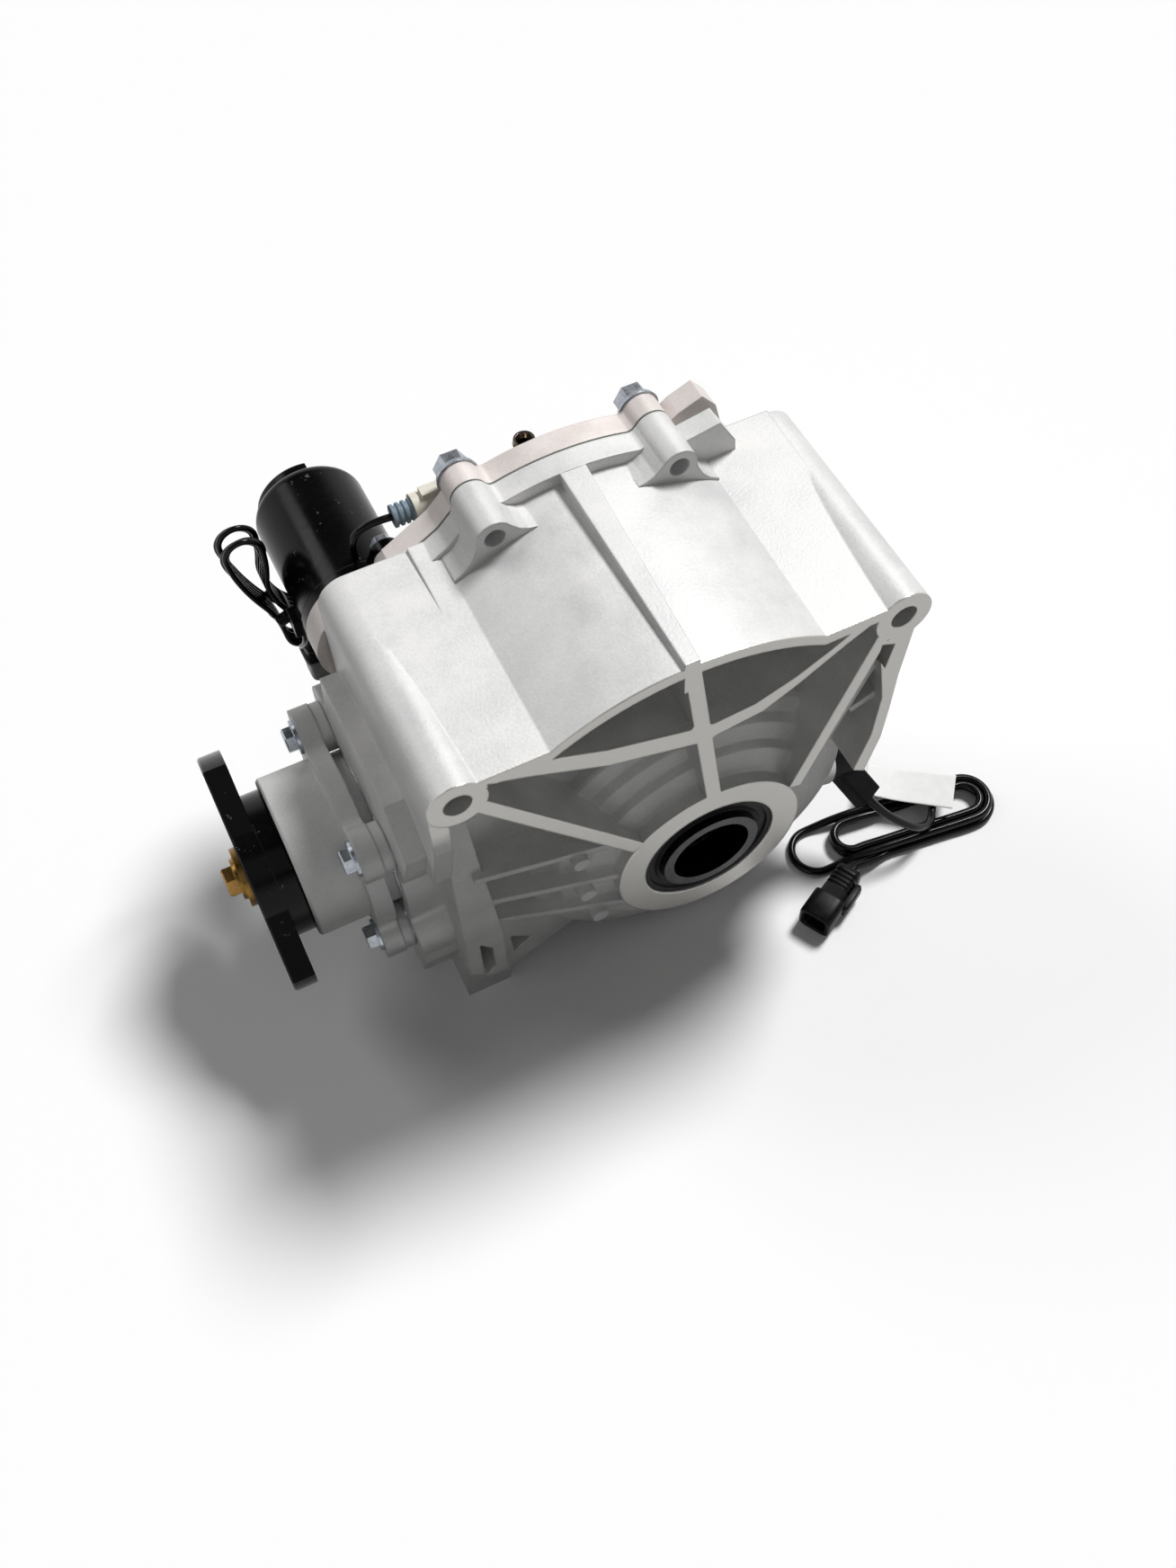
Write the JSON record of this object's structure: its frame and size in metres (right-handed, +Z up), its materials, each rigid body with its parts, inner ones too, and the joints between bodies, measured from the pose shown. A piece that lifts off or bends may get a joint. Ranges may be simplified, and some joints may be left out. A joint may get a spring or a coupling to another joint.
{
  "type": "rear axle assembly",
  "caption": "Cast rear axle gearbox with bevel drive, a lockable differential shifted by an electric motor, a drive flange and mounting tubes.",
  "frame": {"origin": "where the axle axis crosses the machined near face of the main case", "axes": "+Y along the axle axis into the case, +X away from the drive flange, +Z up towards the mounting tubes"},
  "size_m": [0.3459, 0.2142, 0.2264],
  "materials": {
    "cast_aluminium": "fine cast grain, satin",
    "cover_aluminium": "cast with a machined joint band",
    "machined_aluminium": "turned",
    "gear_steel": "ground and oiled",
    "carrier_iron": "machined cast iron",
    "bearing_steel": "polished",
    "zinc_steel": "zinc plated",
    "yellow_zinc": "yellow passivated zinc",
    "black_paint": "gloss black",
    "seal_rubber": "matte",
    "gasket_paper": "pressed fibre",
    "copper_washer": "soft copper",
    "nickel": "dark nickel",
    "white_nylon": "milky nylon",
    "black_plastic": "satin moulded",
    "lead_sleeve": "gloss sleeve",
    "white_paper": "paper"
  },
  "bodies": {
    "axle_case": {"main_case": "cast_aluminium", "rear_cover": "cover_aluminium", "case_gasket": "gasket_paper", "case_bolts": "zinc_steel", "case_dowels": "bearing_steel", "breather_nipple": "nickel", "oil_plugs": "zinc_steel", "plug_washers": "copper_washer", "lock_switch": "white_nylon", "lock_switch_seal": "seal_rubber", "near_bearing_outer_ring": "bearing_steel", "far_bearing_outer_ring": "bearing_steel", "pinion_bearing_outer_ring": "bearing_steel", "axle_seals": "seal_rubber", "pinion_seal": "seal_rubber", "pinion_housing": "cover_aluminium", "housing_shim": "machined_aluminium", "housing_o_ring": "seal_rubber", "housing_bolts": "zinc_steel", "fork_rail": "bearing_steel", "motor_foot": "black_paint", "shift_motor": "black_paint", "motor_screws": "zinc_steel", "speed_sensor": "black_plastic", "sensor_screw": "zinc_steel", "sensor_lead": "lead_sleeve", "sensor_lead_coil": "lead_sleeve", "sensor_plug": "black_plastic", "sensor_tag": "white_paper", "switch_lead": "lead_sleeve", "motor_lead": "lead_sleeve", "motor_lead_hank": "lead_sleeve", "motor_lead_tie": "black_plastic", "motor_lead_plug": "black_plastic"},
    "pinion": {"pinion_shaft": "gear_steel", "drive_flange": "black_paint", "drive_flange_washer": "yellow_zinc", "drive_flange_bolt": "yellow_zinc", "pinion_bearing_inner_ring": "bearing_steel", "pinion_bearing_balls": "bearing_steel"},
    "carrier": {"diff_carrier": "carrier_iron", "diff_end_plate": "carrier_iron", "end_plate_screws": "zinc_steel", "ring_gear": "gear_steel", "ring_gear_bolts": "zinc_steel", "cross_pin": "bearing_steel", "cross_pin_lock": "bearing_steel", "near_bearing_inner_ring": "bearing_steel", "near_bearing_balls": "bearing_steel"},
    "near_hub": {"side_gear_near": "gear_steel"},
    "far_hub": {"side_gear_far": "gear_steel", "far_bearing_inner_ring": "bearing_steel", "far_bearing_balls": "bearing_steel"},
    "right_spider": {"spider_gear_right": "gear_steel"},
    "left_spider": {"spider_gear_left": "gear_steel"},
    "collar": {"lock_collar": "gear_steel"},
    "rotor": {"motor_rotor": "gear_steel"},
    "screw": {"lock_screw": "gear_steel"},
    "fork": {"shift_fork": "gear_steel"}
  },
  "joints": [
    {"name": "carrier_spin", "type": "hinge", "parent": "axle_case", "child": "carrier", "pos_m": [0, 0.072, 0], "axis": [0, 1, 0], "continuous": true},
    {"name": "pinion_spin", "type": "hinge", "parent": "axle_case", "child": "pinion", "pos_m": [-0.1, 0.076, 0], "axis": [1, 0, 0], "continuous": true},
    {"name": "near_hub_spin", "type": "hinge", "parent": "carrier", "child": "near_hub", "pos_m": [0, 0.03, 0], "axis": [0, 1, 0], "continuous": true},
    {"name": "far_hub_spin", "type": "hinge", "parent": "carrier", "child": "far_hub", "pos_m": [0, 0.12, 0], "axis": [0, 1, 0], "continuous": true},
    {"name": "right_spider_spin", "type": "hinge", "parent": "carrier", "child": "right_spider", "pos_m": [0.025, 0.072, 0], "axis": [1, 0, 0], "continuous": true},
    {"name": "left_spider_spin", "type": "hinge", "parent": "carrier", "child": "left_spider", "pos_m": [-0.025, 0.072, 0], "axis": [1, 0, 0], "continuous": true},
    {"name": "motor_spin", "type": "hinge", "parent": "axle_case", "child": "rotor", "pos_m": [-0.0955, 0.14, 0.08], "axis": [0, 1, 0], "range_deg": [0, 930]},
    {"name": "screw_spin", "type": "hinge", "parent": "axle_case", "child": "screw", "pos_m": [-0.05906, 0.12, 0.07358], "axis": [0, 1, 0], "range_deg": [-180, 0]},
    {"name": "fork_slide", "type": "slide", "parent": "axle_case", "child": "fork", "axis": [0, -1, 0], "range_m": [0, 0.0054]},
    {"name": "collar_slide", "type": "slide", "parent": "far_hub", "child": "collar", "axis": [0, -1, 0], "range_m": [0, 0.0054]}
  ],
  "couplings": [
    {"joint": "pinion_spin", "follows": "carrier_spin", "ratio": -3.2727},
    {"joint": "far_hub_spin", "follows": "near_hub_spin", "ratio": -1},
    {"joint": "right_spider_spin", "follows": "near_hub_spin", "ratio": 1.6},
    {"joint": "left_spider_spin", "follows": "near_hub_spin", "ratio": -1.6},
    {"joint": "motor_spin", "follows": "fork_slide", "rad_per_m": 3005.8},
    {"joint": "screw_spin", "follows": "fork_slide", "rad_per_m": -581.78},
    {"joint": "collar_slide", "follows": "fork_slide", "ratio": 1}
  ]
}
